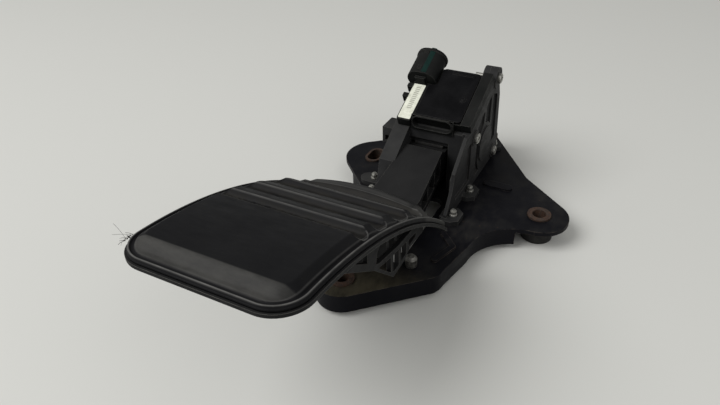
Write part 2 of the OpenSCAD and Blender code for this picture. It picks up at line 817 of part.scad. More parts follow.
module tread_cover() {
    half = pad_w / 2 - tread_inset;
    slope_foot = -pad_front + tread_inset + bead_w;
    pocket_half = half - 3.2;
    color(moulded_black) at_datum() difference() {
        union() {
            intersection() {
                tread_band(pad_r, pad_r - tread_t);
                linear_extrude(far) pad_outline(tread_inset);
            }
            // Bead round the rim
            intersection() {
                tread_band(pad_r + bead_h, pad_r - over);
                linear_extrude(far) difference() {
                    pad_outline(tread_inset);
                    pad_outline(tread_inset + bead_w);
                }
            }
            // Raised field, cut back to its front slope
            intersection() {
                raised(slope_foot - over, field_rear, half - 0.6, 4.5, field_h);
                linear_extrude(far) pad_outline(tread_inset + bead_w - 0.3);
                across(-pad_w, pad_w)
                    polygon([[slope_foot, 0], [slope_foot, tread_z(slope_foot)],
                        [field_front, tread_z(field_front, -field_h)], [field_front, far], [0, far], [0, 0]]);
            }
            // Ribs, left standing between the pockets
            raised(field_rear - 0.2, pockets[3][1] + 2, half - 0.2, 1.4, rib_h);
            rear_lip();
        }
        difference() {
            linear_extrude(far) for (pocket = pockets)
                rounded_rect([pad_shift - pocket_half, pocket[0]], [pad_shift + pocket_half, pocket[1]], 2.4);
            cross_cylinder(arc_y, arc_z, pad_r, -pad_w, pad_w, $fn = 180);
        }
    }
}

module pivot_shaft() {
    color(steel) at_datum() cross_cylinder(pivot_y, pivot_z, shaft_r, -shaft_half, cover_x - 2);
}

module magnet() {
    color(steel) at_datum()
        translate([-3.5, pivot_y - 3, pivot_z + hub_r + 1]) cube([7, 6, 2.5]);
}

module spring_shoe() {
    color(zinc) at_datum() translate([0, spring_y, shoe_z]) cylinder(h = shoe_t, r = shoe_r);
}

// A helical compression spring between two flat seats
module coil(mean_r, wire_r, turns, bottom, top) {
    sides = 8;
    steps = 14;
    rings = turns * steps;
    rise = top - bottom - 2 * wire_r;
    function ring(i) = let (turn = 360 * i / steps, z = bottom + wire_r + rise * i / rings)
        [for (s = [0:sides - 1]) let (a = 360 * s / sides, r = mean_r + wire_r * cos(a))
            [r * cos(turn), r * sin(turn), z + wire_r * sin(a)]];
    points = [for (i = [0:rings]) each ring(i)];
    skin = [for (i = [0:rings - 1]) for (s = [0:sides - 1])
        let (t = (s + 1) % sides) [i * sides + s, (i + 1) * sides + s, (i + 1) * sides + t, i * sides + t]];
    first = [for (s = [0:sides - 1]) s];
    last = [for (s = [0:sides - 1]) rings * sides + sides - 1 - s];
    polyhedron(points, concat(skin, [first, last]), convexity = 10);
}

module outer_spring() {
    color(steel) at_datum() translate([0, spring_y, 0]) coil(4.6, 0.6, 5, spring_bottom, spring_top);
}

module inner_spring() {
    color(steel) at_datum() translate([0, spring_y, 0]) coil(2.7, 0.45, 6, spring_bottom, spring_top);
}

mounting_plate();
right_collar();
left_collar();
lower_collar();
right_standoff();
left_standoff();
lower_standoff();
top_spacer();
stop_bolt();
housing_body();
side_cover();
cover_screws();
foot_studs();
side_clip();
idle_bumper();
left_bush();
right_bush();
spring_cup();
sensor_body();
lid_seal();
sensor_lid();
circuit_board();
hall_sensor();
connector_insert();
terminal_pins();
label();
pedal_lever();
tread_cover();
pivot_shaft();
magnet();
spring_shoe();
outer_spring();
inner_spring();
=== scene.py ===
import math
import random

import bmesh
import bpy
from mathutils import Matrix, Vector


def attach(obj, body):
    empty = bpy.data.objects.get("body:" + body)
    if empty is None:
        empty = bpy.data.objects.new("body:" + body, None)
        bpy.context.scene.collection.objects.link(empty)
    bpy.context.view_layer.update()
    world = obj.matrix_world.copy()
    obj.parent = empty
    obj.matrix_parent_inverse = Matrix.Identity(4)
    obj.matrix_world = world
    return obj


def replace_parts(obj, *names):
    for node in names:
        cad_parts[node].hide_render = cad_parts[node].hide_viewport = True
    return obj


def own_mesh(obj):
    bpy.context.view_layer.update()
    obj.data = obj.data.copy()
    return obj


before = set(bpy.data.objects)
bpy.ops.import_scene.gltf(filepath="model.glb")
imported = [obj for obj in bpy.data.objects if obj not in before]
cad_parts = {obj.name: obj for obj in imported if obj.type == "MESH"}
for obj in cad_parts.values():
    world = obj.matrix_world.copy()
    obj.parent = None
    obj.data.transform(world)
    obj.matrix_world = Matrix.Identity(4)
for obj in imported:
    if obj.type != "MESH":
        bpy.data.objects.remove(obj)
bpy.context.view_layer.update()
bpy.context.scene.view_settings.view_transform = "Standard"

# The pieces are laid out in millimetres from the arm's middle plane, as they are measured on the bench.
# place() turns such a point into the shared frame, whose origin is the right ear's bolt hole.
EAR_X, EAR_Y = 59.5, -5.0
MM = 0.001

# Points of a CAD mesh closer than this, in metres, are one point
MERGE = 0.000002

# Tread: the arc that it follows, its outline and its levels
PAD_FRONT = -170.2
PAD_H = 79.6
ARC_R = 176.0
ARC_FALL = math.radians(2.2)
ARC_Y = PAD_FRONT - ARC_R * math.sin(ARC_FALL)
ARC_Z = PAD_H - ARC_R * math.cos(ARC_FALL)
TREAD_MIDDLE_X = 0.9
TREAD_HALF = 30.4
TREAD_FRONT = -169.4
TREAD_REAR = -58.8
TREAD_CORNER = 10.7
TREAD_T = 1.3
FIELD_H = 2.7
FIELD_HALF = 25.0
FIELD_FALL = 4.4
FIELD_FRONT = -161.5
FIELD_REAR = -134.0
POCKETS = ((-128.0, -121.5), (-116.5, -108.5), (-102.0, -91.5), (-87.0, -78.5))
POCKET_HALF = 28.2
POCKET_CORNER = 2.6
POCKET_FLOOR = 0.25
LIP_CROWN = 5.9
BEAD_H = 0.62

# Webs and ribs under the pad: how far below the arc they start, where the webs' sides lie along X,
# and half a rib's thickness
BACKING = 2.25
WEB_SIDES = (("right", 22.4, 24.4), ("left", -22.6, -20.6))
RIB_HALF = 0.8

# Roof of the housing: its front edge, and the slope that the sensor stands on
ROOF_Y, ROOF_Z = -1.0, 45.0
ROOF_SLOPE = math.radians(25.0)

# Housing and its side cover. SHEET_Z is the top of the mounting plate.
SHEET_Z = 12.0
BELOW_SHEET = 11.0
FOOT_TOP = 14.6
FOOT_R = 4.2
HOUSING_HALF = 18.0
HOUSING_WALL = 3.5
MOUTH_LEFT, MOUTH_RIGHT = -10.0, 10.6
COVER_X = 21.5
BOSS_H = 0.6
PIVOT = (22.0, 29.0)
SCREWS = ((5.0, 40.5), (38.0, 16.5), (35.5, 59.8))
TOP_BOSS_R = 5.5
REAR_FOOT = (19.8, 48.0)

# Studs in the feet: x, y and lower end
STUDS = ((23.5, -26.0, 9.4), (23.5, -3.0, 9.4), (-21.2, -24.0, 9.4), (-25.2, -12.5, 12.2), (-21.2, -1.0, 9.4),
         (*REAR_FOOT, 9.4))

# Sensor, laid out on the roof's slope: its tray, its lid and the connector's shroud
TRAY_LEFT, TRAY_RIGHT, TRAY_FRONT, TRAY_REAR = -16.2, 17.6, -2.6, 33.0
TRAY_H = 4.9
SEAL_T = 0.15
LID_TOP = 6.6
LID_PIN = (12.6, 14.8)
SHROUD_X, SHROUD_N = -12.2, 6.4
SHROUD_REACH, SHROUD_R = 1.55, 6.2
SHROUD_WALL = 1.6
PIN_PITCH = 1.6
PIN_HALF = 0.35
ON_ROOF = 0.02

# The place that the lamps point at, in metres
LIT_PLACE = Vector((-0.05, -0.03, 0.03))

# Angles past which an edge stays crisp: on a CAD node, and on a piece modelled here
NODE_CREASE = math.radians(35.0)
CREASE = math.radians(32.0)


def place(x, y, z):
    """A point in millimetres from the arm's middle plane, in the shared frame's metres."""
    return Vector(((x - EAR_X) * MM, (y - EAR_Y) * MM, z * MM))


def on_tread(x, y, height):
    """A point that stands a height over the tread's arc."""
    turn = math.asin((y - ARC_Y) / ARC_R)
    r = ARC_R + height
    return place(TREAD_MIDDLE_X + x, ARC_Y + r * math.sin(turn), ARC_Z + r * math.cos(turn))


def ease(low, high, value):
    """0 below low, 1 above high, and a smooth rise between them."""
    t = min(1.0, max(0.0, (value - low) / (high - low)))
    return t * t * (3 - 2 * t)


def slope(low, high, value):
    """0 below low, 1 above high, and a straight rise with eased ends between them."""
    t = min(1.0, max(0.0, (value - low) / (high - low)))
    soft = 0.12
    if t < soft:
        return t * t / (2 * soft * (1 - soft))
    if t > 1 - soft:
        return 1 - (1 - t) ** 2 / (2 * soft * (1 - soft))
    return (t - soft / 2) / (1 - soft)


def box_reach(x, y, half_x, y0, y1, corner):
    """Distance from a rounded rectangle: below 0 inside it."""
    dx = abs(x) - half_x + corner
    dy = abs(y - (y0 + y1) / 2) - (y1 - y0) / 2 + corner
    return math.hypot(max(dx, 0), max(dy, 0)) + min(max(dx, dy), 0) - corner


# Finishes


class Finish:
    """A material of the pedal: one Principled shader, fed with patterns on Object coordinates."""

    def __init__(self, name, roughness, metallic=0.0, specular=0.5):
        self.material = bpy.data.materials.new(name)
        self.material.use_nodes = True
        self.nodes = self.material.node_tree.nodes
        self.links = self.material.node_tree.links
        self.shader = self.nodes["Principled BSDF"]
        self.set(self.shader, Roughness=roughness, Metallic=metallic)
        self.shader.inputs["Specular IOR Level"].default_value = specular
        self.object_place = self.nodes.new("ShaderNodeTexCoord").outputs["Object"]
        self.surface = self.nodes.new("ShaderNodeNewGeometry")
        self.relief = None

    def set(self, node, **inputs):
        """Gives a node's sockets their numbers or their links."""
        for name, value in inputs.items():
            socket = node.inputs[name.replace("_", " ")]
            if isinstance(value, bpy.types.NodeSocket):
                self.links.new(value, socket)
            else:
                socket.default_value = value
        return node

    def spots(self, size, detail=4.0, rough=0.6, stretch=(1, 1, 1), seed=0.0):
        """Cloudy pattern whose clumps are about size millimetres across."""
        mapping = self.nodes.new("ShaderNodeMapping")
        mapping.inputs["Scale"].default_value = stretch
        mapping.inputs["Location"].default_value = (seed, seed * 0.7, -seed)
        self.links.new(self.object_place, mapping.inputs["Vector"])
        noise = self.nodes.new("ShaderNodeTexNoise")
        self.set(noise, Vector=mapping.outputs[0], Scale=1000.0 / size, Detail=detail, Roughness=rough)
        return noise.outputs["Fac"]

    def pits(self, size, seed=0.0):
        """Distance to the nearest of many scattered points."""
        mapping = self.nodes.new("ShaderNodeMapping")
        mapping.inputs["Location"].default_value = (seed, -seed, seed)
        self.links.new(self.object_place, mapping.inputs["Vector"])
        cells = self.nodes.new("ShaderNodeTexVoronoi")
        self.set(cells, Vector=mapping.outputs[0], Scale=1000.0 / size)
        return cells.outputs["Distance"]

    def span(self, value, low, high, to_low=0.0, to_high=1.0):
        """Moves a value from one range into another, and holds it there."""
        node = self.nodes.new("ShaderNodeMapRange")
        self.links.new(value, node.inputs["Value"])
        for name, number in (("From Min", low), ("From Max", high), ("To Min", to_low), ("To Max", to_high)):
            node.inputs[name].default_value = number
        return node.outputs["Result"]

    def reckon(self, kind, a, b, clamp=True):
        """Combines two values or numbers, held between 0 and 1 where it is clamped."""
        node = self.nodes.new("ShaderNodeMath")
        node.operation = kind
        node.use_clamp = clamp
        for index, value in enumerate((a, b)):
            if isinstance(value, bpy.types.NodeSocket):
                self.links.new(value, node.inputs[index])
            else:
                node.inputs[index].default_value = value
        return node.outputs[0]

    def times(self, a, b):
        return self.reckon("MULTIPLY", a, b)

    def plus(self, a, b):
        return self.reckon("ADD", a, b)

    def sawtooth(self, value, pitch):
        """Climbs from 0 to 1 again and again, once for each pitch."""
        turns = self.reckon("MULTIPLY", value, 1 / pitch, clamp=False)
        return self.reckon("FRACT", turns, 0.0, clamp=False)

    def mix(self, amount, under, over):
        """Lays one colour over another."""
        node = self.nodes.new("ShaderNodeMix")
        node.data_type = "RGBA"
        self.links.new(amount, node.inputs["Factor"])
        colours = {socket.name: socket for socket in node.inputs if socket.type == "RGBA"}
        for name, value in (("A", under), ("B", over)):
            if isinstance(value, bpy.types.NodeSocket):
                self.links.new(value, colours[name])
            else:
                colours[name].default_value = (*value, 1.0)
        return next(socket for socket in node.outputs if socket.type == "RGBA")

    def mark(self, name):
        """A value stored on the piece's own vertices."""
        node = self.nodes.new("ShaderNodeAttribute")
        node.attribute_name = name
        return node.outputs["Fac"]

    def along(self, axis):
        """Object coordinate along an axis, in metres."""
        node = self.nodes.new("ShaderNodeSeparateXYZ")
        self.links.new(self.object_place, node.inputs[0])
        return node.outputs[axis]

    def upward(self):
        """1 on faces that look up, 0 on faces that look sideways or down."""
        node = self.nodes.new("ShaderNodeSeparateXYZ")
        self.links.new(self.surface.outputs["Normal"], node.inputs[0])
        return self.span(node.outputs["Z"], 0.2, 0.95)

    def edges(self, radius):
        """1 on the piece's edges, 0 on its faces."""
        flat, turned = 0.985, 0.93
        rounded = self.nodes.new("ShaderNodeBevel")
        rounded.samples = 6
        rounded.inputs["Radius"].default_value = radius * MM
        turn = self.nodes.new("ShaderNodeVectorMath")
        turn.operation = "DOT_PRODUCT"
        self.links.new(rounded.outputs["Normal"], turn.inputs[0])
        self.links.new(self.surface.outputs["Normal"], turn.inputs[1])
        return self.span(turn.outputs["Value"], flat, turned)

    def rounded(self, radius):
        """Rounds the piece's sharp edges in the shading."""
        node = self.nodes.new("ShaderNodeBevel")
        node.samples = 6
        node.inputs["Radius"].default_value = radius * MM
        self.relief = node.outputs["Normal"]
        self.links.new(self.relief, self.shader.inputs["Normal"])

    def bump(self, height, depth, strength=1.0):
        """Adds relief of a depth in millimetres."""
        node = self.nodes.new("ShaderNodeBump")
        self.set(node, Height=height, Distance=depth * MM, Strength=strength)
        if self.relief is not None:
            self.links.new(self.relief, node.inputs["Normal"])
        self.relief = node.outputs["Normal"]
        self.links.new(self.relief, self.shader.inputs["Normal"])

    def colour(self, value):
        self.links.new(value, self.shader.inputs["Base Color"])

    def roughness(self, value):
        self.links.new(value, self.shader.inputs["Roughness"])

    def metal(self, value):
        self.links.new(value, self.shader.inputs["Metallic"])


def moulded_finish(name, dark, light, pale_tone, edge_tone, specular=0.12, edge=0.3, dust_most=0.3):
    """Moulded black plastic: mottled, fine-grained, dusty on top and pale along its edges, where wear and a
    painted highlight are laid on.
    """
    roughness = 0.6
    f = Finish(name, roughness, specular=specular)
    clouds = f.spots(14, 5, 0.6)
    fine = f.spots(0.35, 2, 0.5, seed=3.0)
    smears = f.spots(3.5, 5, 0.7, stretch=(1, 0.35, 1), seed=7.0)
    body = f.mix(f.span(clouds, 0.35, 0.65), dark, light)
    pale_mask = f.times(f.upward(), f.span(f.times(clouds, smears), 0.18, 0.42, 0.1, dust_most))
    body = f.mix(pale_mask, body, pale_tone)
    # Pale edges: wear, and a painted highlight along every edge
    edge_marks = f.times(f.edges(edge), f.span(smears, 0.3, 0.62, 0.25, 1.0))
    f.colour(f.mix(edge_marks, body, edge_tone))
    dull = f.plus(smears, f.times(pale_mask, 0.4))
    f.roughness(f.span(dull, 0.3, 0.95, roughness - 0.12, roughness + 0.25))
    f.rounded(0.35)
    f.bump(fine, 0.012, 0.6)
    f.bump(clouds, 0.02, 0.3)
    return f.material


def tread_finish():
    """Satin black tread: pale along its edges, which is wear and painted highlights, pale on its front slope
    and its rear lip, which is dust and a painted reflection, and dirt down in the pockets.
    """
    dark, light = (0.0060, 0.0060, 0.0068), (0.0085, 0.0085, 0.0092)
    # Pale tone: dust, and a painted reflection on the front slope and the rear lip
    pale_tone = (0.052, 0.051, 0.048)
    dirt = (0.028, 0.026, 0.022)
    speck = (0.09, 0.085, 0.075)
    # Pale edge tone: wear, and painted highlights along the rib edges, the bead and the lip's crest
    edge_tone = (0.150, 0.147, 0.140)
    f = Finish("satin_tread", 0.5, specular=0.07)
    clouds = f.spots(16, 4, 0.55)
    smears = f.spots(4, 6, 0.7, stretch=(0.4, 1, 1), seed=5.0)
    fine = f.spots(0.3, 2, 0.5, seed=2.0)
    specks = f.span(f.pits(1.6, seed=1.0), 0.12, 0.04)
    body = f.mix(f.span(clouds, 0.35, 0.65), dark, light)
    # Dust and a painted reflection, laid on from the vertices' pale share
    body = f.mix(f.times(f.mark("pale_mask"), f.span(smears, 0.3, 0.6, 0.55, 1.0)), body, pale_tone)
    body = f.mix(f.times(f.mark("grimy"), f.span(smears, 0.35, 0.6)), body, dirt)
    body = f.mix(f.times(specks, 0.12), body, speck)
    # Wear and painted highlights, laid on from the vertices' pale edge share
    wear_and_highlight = f.times(f.mark("wear_and_highlight"), f.span(smears, 0.25, 0.6, 0.35, 1.0))
    f.colour(f.mix(wear_and_highlight, body, edge_tone))
    f.roughness(f.span(smears, 0.3, 0.7, 0.42, 0.62))
    f.bump(fine, 0.008, 0.5)
    f.bump(smears, 0.015, 0.4)
    return f.material


def plate_finish():
    """Black dipped steel: semi-gloss, dusty, specked with rust, rubbed brown along its edges."""
    dark, light = (0.0040, 0.0040, 0.0056), (0.0075, 0.0075, 0.0092)
    pale_tone = (0.040, 0.038, 0.033)
    sand = (0.060, 0.053, 0.036)
    rust_speck = (0.075, 0.036, 0.018)
    edge_tone = (0.09, 0.075, 0.062)
    sand_start, sand_full = -0.062, -0.078
    f = Finish("dipped_steel", 0.42, specular=0.06)
    clouds = f.spots(18, 5, 0.62)
    smears = f.spots(5, 6, 0.72, stretch=(1, 0.45, 1), seed=4.0)
    fine = f.spots(0.5, 3, 0.55, seed=9.0)
    body = f.mix(f.span(clouds, 0.35, 0.68), dark, light)
    pale_mask = f.times(f.upward(), f.span(f.times(clouds, smears), 0.22, 0.42, 0.0, 0.35))
    body = f.mix(pale_mask, body, pale_tone)
    # Sand dried on the lower lobe, which lies past sand_start along Y
    sandy = f.times(f.span(f.along("Y"), sand_start, sand_full), f.span(smears, 0.30, 0.60, 0.35, 1.0))
    body = f.mix(f.times(sandy, f.upward()), body, sand)
    specks = f.times(f.span(f.pits(2.6, seed=2.0), 0.16, 0.06), f.span(clouds, 0.52, 0.66))
    body = f.mix(f.times(specks, 0.6), body, rust_speck)
    edge_marks = f.times(f.edges(0.4), f.span(smears, 0.42, 0.66))
    f.colour(f.mix(edge_marks, body, edge_tone))
    f.roughness(f.span(f.plus(smears, pale_mask), 0.3, 1.0, 0.34, 0.7))
    f.rounded(0.5)
    f.bump(fine, 0.02, 0.5)
    f.bump(clouds, 0.05, 0.3)
    return f.material


def rust_finish():
    """Steel gone brown: crusts of rust over grey metal."""
    dark_rust, rust = (0.013, 0.0075, 0.0055), (0.050, 0.023, 0.012)
    pale_rust = (0.085, 0.050, 0.032)
    grey_metal = (0.075, 0.062, 0.052)
    f = Finish("rusted_steel", 0.7, specular=0.4)
    crust = f.spots(2.2, 7, 0.7)
    grit = f.spots(0.5, 4, 0.7, seed=6.0)
    bare = f.span(f.spots(3.5, 5, 0.65, seed=11.0), 0.5, 0.62)
    brown = f.mix(f.span(crust, 0.35, 0.65), dark_rust, rust)
    brown = f.mix(f.span(grit, 0.5, 0.72), brown, pale_rust)
    f.colour(f.mix(f.times(bare, 0.6), brown, grey_metal))
    f.metal(f.span(bare, 0.3, 1.0, 0.0, 0.75))
    f.roughness(f.span(crust, 0.1, 0.7, 0.42, 0.9))
    f.rounded(0.25)
    f.bump(f.plus(f.times(crust, 0.6), f.times(grit, 0.4)), 0.12, 0.9)
    return f.material


def zinc_finish(name, dark, light):
    """Zinc plating gone dull, with white bloom."""
    edge_tone = (0.7, 0.69, 0.65)
    f = Finish(name, 0.42, metallic=0.85)
    bloom = f.spots(1.6, 6, 0.7)
    fine = f.spots(0.3, 3, 0.6, seed=4.0)
    body = f.mix(f.span(bloom, 0.32, 0.66), dark, light)
    f.colour(f.mix(f.times(f.edges(0.25), 0.5), body, edge_tone))
    f.metal(f.span(bloom, 0.45, 0.7, 0.9, 0.35))
    f.roughness(f.span(fine, 0.3, 0.7, 0.34, 0.55))
    f.rounded(0.2)
    f.bump(fine, 0.015, 0.5)
    return f.material


def steel_finish():
    """Plain steel with turning marks."""
    f = Finish("plain_steel", 0.32, metallic=1.0)
    marks = f.spots(0.4, 4, 0.6, stretch=(0.15, 1, 1))
    f.colour(f.mix(f.span(marks, 0.3, 0.7), (0.36, 0.36, 0.37), (0.58, 0.58, 0.58)))
    f.roughness(f.span(marks, 0.3, 0.7, 0.26, 0.42))
    f.rounded(0.15)
    f.bump(marks, 0.006, 0.5)
    return f.material


def lid_finish():
    """Glossy black lid with fine hairline scratches and a little dust."""
    dark, light = (0.0045, 0.0045, 0.0050), (0.0070, 0.0070, 0.0076)
    pale_tone = (0.10, 0.095, 0.088)
    edge_tone = (0.06, 0.058, 0.055)
    f = Finish("glossy_lid", 0.3, specular=0.04)
    hairlines = f.spots(1.2, 6, 0.75, stretch=(0.12, 1, 1))
    clouds = f.spots(9, 4, 0.6, seed=3.0)
    body = f.mix(f.span(clouds, 0.35, 0.65), dark, light)
    body = f.mix(f.times(f.span(f.pits(1.3), 0.12, 0.05), 0.12), body, pale_tone)
    f.colour(f.mix(f.times(f.edges(0.3), 0.5), body, edge_tone))
    f.roughness(f.span(f.times(hairlines, clouds), 0.15, 0.4, 0.16, 0.36))
    f.rounded(0.5)
    f.bump(clouds, 0.03, 0.25)
    return f.material


def rubber_finish():
    """Dull black rubber with dust settled on top."""
    dark, light = (0.010, 0.010, 0.010), (0.022, 0.021, 0.020)
    pale_tone = (0.07, 0.065, 0.058)
    f = Finish("seal_rubber", 0.75, specular=0.25)
    clouds = f.spots(3, 5, 0.65)
    fine = f.spots(0.25, 2, 0.5, seed=3.0)
    body = f.mix(f.span(clouds, 0.35, 0.65), dark, light)
    f.colour(f.mix(f.times(f.upward(), f.span(clouds, 0.45, 0.7, 0.0, 0.5)), body, pale_tone))
    f.roughness(f.span(fine, 0.3, 0.7, 0.65, 0.85))
    f.rounded(0.3)
    f.bump(fine, 0.02, 0.6)
    return f.material


def insert_finish():
    """Dark green-blue plastic of the connector's lock strip."""
    dark, light = (0.0018, 0.0125, 0.0105), (0.0030, 0.0190, 0.0155)
    edge_tone = (0.008, 0.040, 0.033)
    f = Finish("teal_insert", 0.38, specular=0.15)
    clouds = f.spots(4, 4, 0.6)
    body = f.mix(f.span(clouds, 0.35, 0.65), dark, light)
    f.colour(f.mix(f.times(f.edges(0.3), 0.4), body, edge_tone))
    f.roughness(f.span(clouds, 0.3, 0.7, 0.3, 0.46))
    f.rounded(0.2)
    f.bump(clouds, 0.01, 0.4)
    return f.material


def label_finish():
    """Plain white label with a row of generic grey bars."""
    white, soiled, grey = (0.76, 0.77, 0.66), (0.55, 0.55, 0.46), (0.16, 0.16, 0.13)
    # The row runs down the label's middle and stays clear of its edges, all in metres
    pitch = 0.0011
    front, rear = 0.0056, 0.0194
    left, right = -0.0731, -0.0707
    fade = 0.0001
    f = Finish("soiled_label", 0.55, specular=0.3)
    soil = f.spots(3, 6, 0.7)
    fibre = f.spots(0.3, 3, 0.6, seed=5.0)
    body = f.mix(f.span(soil, 0.42, 0.7), white, soiled)
    across, along = f.along("X"), f.along("Y")
    bars = f.span(f.sawtooth(along, pitch), 0.40, 0.48)
    limits = ((along, front, 1), (along, rear, -1), (across, left, 1), (across, right, -1))
    for place_on_label, limit, inward in limits:
        bars = f.times(bars, f.span(place_on_label, limit - inward * fade, limit + inward * fade))
    f.colour(f.mix(f.times(bars, 0.6), body, grey))
    f.roughness(f.span(fibre, 0.3, 0.7, 0.45, 0.68))
    f.bump(fibre, 0.008, 0.5)
    return f.material


def lint_finish():
    """Grey lint, darker in places."""
    f = Finish("grey_lint", 0.9, specular=0.05)
    tint = f.spots(1.5, 3, 0.6)
    f.colour(f.mix(f.span(tint, 0.4, 0.6), (0.012, 0.011, 0.010), (0.075, 0.070, 0.062)))
    f.roughness(f.span(tint, 0.3, 0.7, 0.8, 0.95))
    return f.material


def board_finish():
    """Green circuit board with faint tracks."""
    dark, light = (0.015, 0.09, 0.035), (0.03, 0.16, 0.06)
    f = Finish("circuit_board", 0.35)
    tracks = f.spots(1.5, 3, 0.5, stretch=(0.3, 1, 1))
    f.colour(f.mix(f.span(tracks, 0.48, 0.52), dark, light))
    f.roughness(f.span(tracks, 0.3, 0.7, 0.3, 0.45))
    f.bump(tracks, 0.02, 0.4)
    return f.material


# Pieces


def smooth_node(node):
    """Shades a CAD node's round walls smooth and keeps its corners crisp."""
    node.data.polygons.foreach_set("use_smooth", [True] * len(node.data.polygons))
    weld = node.modifiers.new("weld", "WELD")
    weld.merge_threshold = MERGE
    split = node.modifiers.new("corners", "EDGE_SPLIT")
    split.split_angle = NODE_CREASE


def dress(names, finish):
    """Gives CAD nodes, which keep their own shape, a finish."""
    for name in names:
        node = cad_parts[name]
        for material_slot in node.material_slots:
            material_slot.material = finish
        smooth_node(node)


def piece_from(bm, name, finish, body):
    """Turns a finished bmesh into a piece that rides on a body."""
    mesh = bpy.data.meshes.new(name)
    bm.to_mesh(mesh)
    bm.free()
    mesh.polygons.foreach_set("use_smooth", [True] * len(mesh.polygons))
    piece = bpy.data.objects.new(name, mesh)
    bpy.context.scene.collection.objects.link(piece)
    mesh.materials.append(finish)
    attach(piece, body)
    return piece


def tread_form(x, y):
    """Height of the tread over its arc at a place, with its pale share there, which is dust and a painted
    reflection, its pale edge share, which is wear and painted highlights, and how grimy it is.
    """
    side = TREAD_HALF - abs(x)
    corner_x, corner_y = TREAD_CORNER - side, TREAD_CORNER - (y - TREAD_FRONT)
    if corner_x > 0 and corner_y > 0:
        rim = TREAD_CORNER - math.hypot(corner_x, corner_y)
    else:
        rim = min(side, y - TREAD_FRONT)
    # Raised field and ribs, whose sides slope down to the rim
    away = box_reach(x, y, FIELD_HALF, FIELD_FRONT, 0.0, 3.0)
    raised = FIELD_H * (1 - slope(0.0, FIELD_FALL, away))
    height = max(raised, 0.3 * ease(1.8, 2.3, rim))
    # The front slope takes the pale tone: dust and a painted reflection. It fades towards the right side,
    # where the slope faces away from the light: painted shade.
    front_slope = (1 - ease(0.0, 0.6, y - FIELD_FRONT)) * ease(2.2, 2.7, rim) * ease(-0.4, 0.0, away)
    pale_mask = front_slope * (1 - 0.55 * ease(20.0, 27.0, x))
    wear_and_highlight = grimy = 0.0
    # Pockets between the ribs, each rib highest at its front edge
    for y0, y1 in POCKETS:
        reach = box_reach(x, y, POCKET_HALF, y0, y1, POCKET_CORNER)
        wall = 1 - slope(-0.9, 0.25, reach)
        height = height * (1 - wall) + POCKET_FLOOR * wall
        if reach < 1.5:
            grimy = max(grimy, wall * 0.6)
        # Each rib's front edge and each pocket's right end take the pale edge tone: wear and a painted
        # highlight.
        lip = ease(0.02, 0.16, reach) * (1 - ease(0.2, 0.42, reach))
        at_rear = ease(y1 - 1.2, y1, y) * (1 - ease(25.0, 26.5, abs(x)))
        at_end = ease(26.0, 27.4, x)
        wear_and_highlight = max(wear_and_highlight, lip * max(at_rear * 0.62, at_end * 0.9))
        top_fall = ease(y1 + 0.6, y1 + 6.5, y) * (1 - ease(y1 + 6.5, y1 + 7.5, y))
        if reach > 0.2:
            height -= 0.5 * top_fall * ease(FIELD_REAR, FIELD_REAR + 2.0, y)
    # Dirt packed against the first rib in short notches
    notch = 0.5 + 0.5 * math.sin(x * 2.1 + 1.3 * math.sin(x * 0.9))
    band = ease(-129.5, -127.0, y) * (1 - ease(-123.5, -121.8, y)) * (1 - ease(24.0, 26.0, abs(x)))
    height -= 0.35 * band * notch * (1 if y > -128.0 else 0.5)
    grimy = max(grimy, band * (0.35 + 0.65 * notch))
    # Crowned lip at the rear, with sloping ends
    crown = LIP_CROWN - 0.0045 * x * x
    ends = 1 - slope(22.0, 30.0, abs(x))
    rise = 0.63 * slope(-80.4, -79.0, y) + 0.37 * slope(-79.2, -74.5, y) - 0.96 * slope(-70.5, -62.5, y)
    lip_height = crown * ends * rise
    height = max(height * (1 - ease(-79.0, -75.0, y)), lip_height)
    # The lip's lower face takes the pale tone too, more of it at the right end: dust and a painted
    # reflection.
    pale_mask = max(pale_mask, 0.75 * ease(-81.0, -79.0, y) * (0.35 + 0.65 * ease(21.5, 24.5, x)))
    # Its crest takes a little of the pale edge tone: a painted highlight with some wear.
    crest = ease(-78.2, -77.2, y) * (1 - ease(-76.4, -75.0, y)) * (1 - ease(20.0, 23.0, abs(x)))
    wear_and_highlight = max(wear_and_highlight, 0.18 * crest)
    # Bead round the rim. Its top takes the pale edge tone, wear and a painted highlight, and the foot of the
    # front slope a thin painted highlight.
    bead = ease(0.1, 0.5, rim) * (1 - ease(0.9, 1.4, rim))
    height = max(height * ease(1.7, 2.3, rim), BEAD_H * bead) - 0.3 * (1 - ease(0.0, 0.35, rim))
    wear_and_highlight = max(wear_and_highlight, 0.8 * ease(0.3, 0.5, rim) * (1 - ease(0.7, 0.95, rim)))
    wear_and_highlight = max(wear_and_highlight, 0.22 * ease(2.2, 2.5, rim) * (1 - ease(2.6, 2.9, rim)))
    return height, pale_mask, wear_and_highlight, grimy


def spaced(stops):
    """Places from the first stop on, with the step that each stop names up to the next one."""
    found = []
    for (start, step), (end, _) in zip(stops, stops[1:]):
        count = max(1, round((end - start) / step))
        found += [start + (end - start) * i / count for i in range(count)]
    return found + [stops[-1][0]]


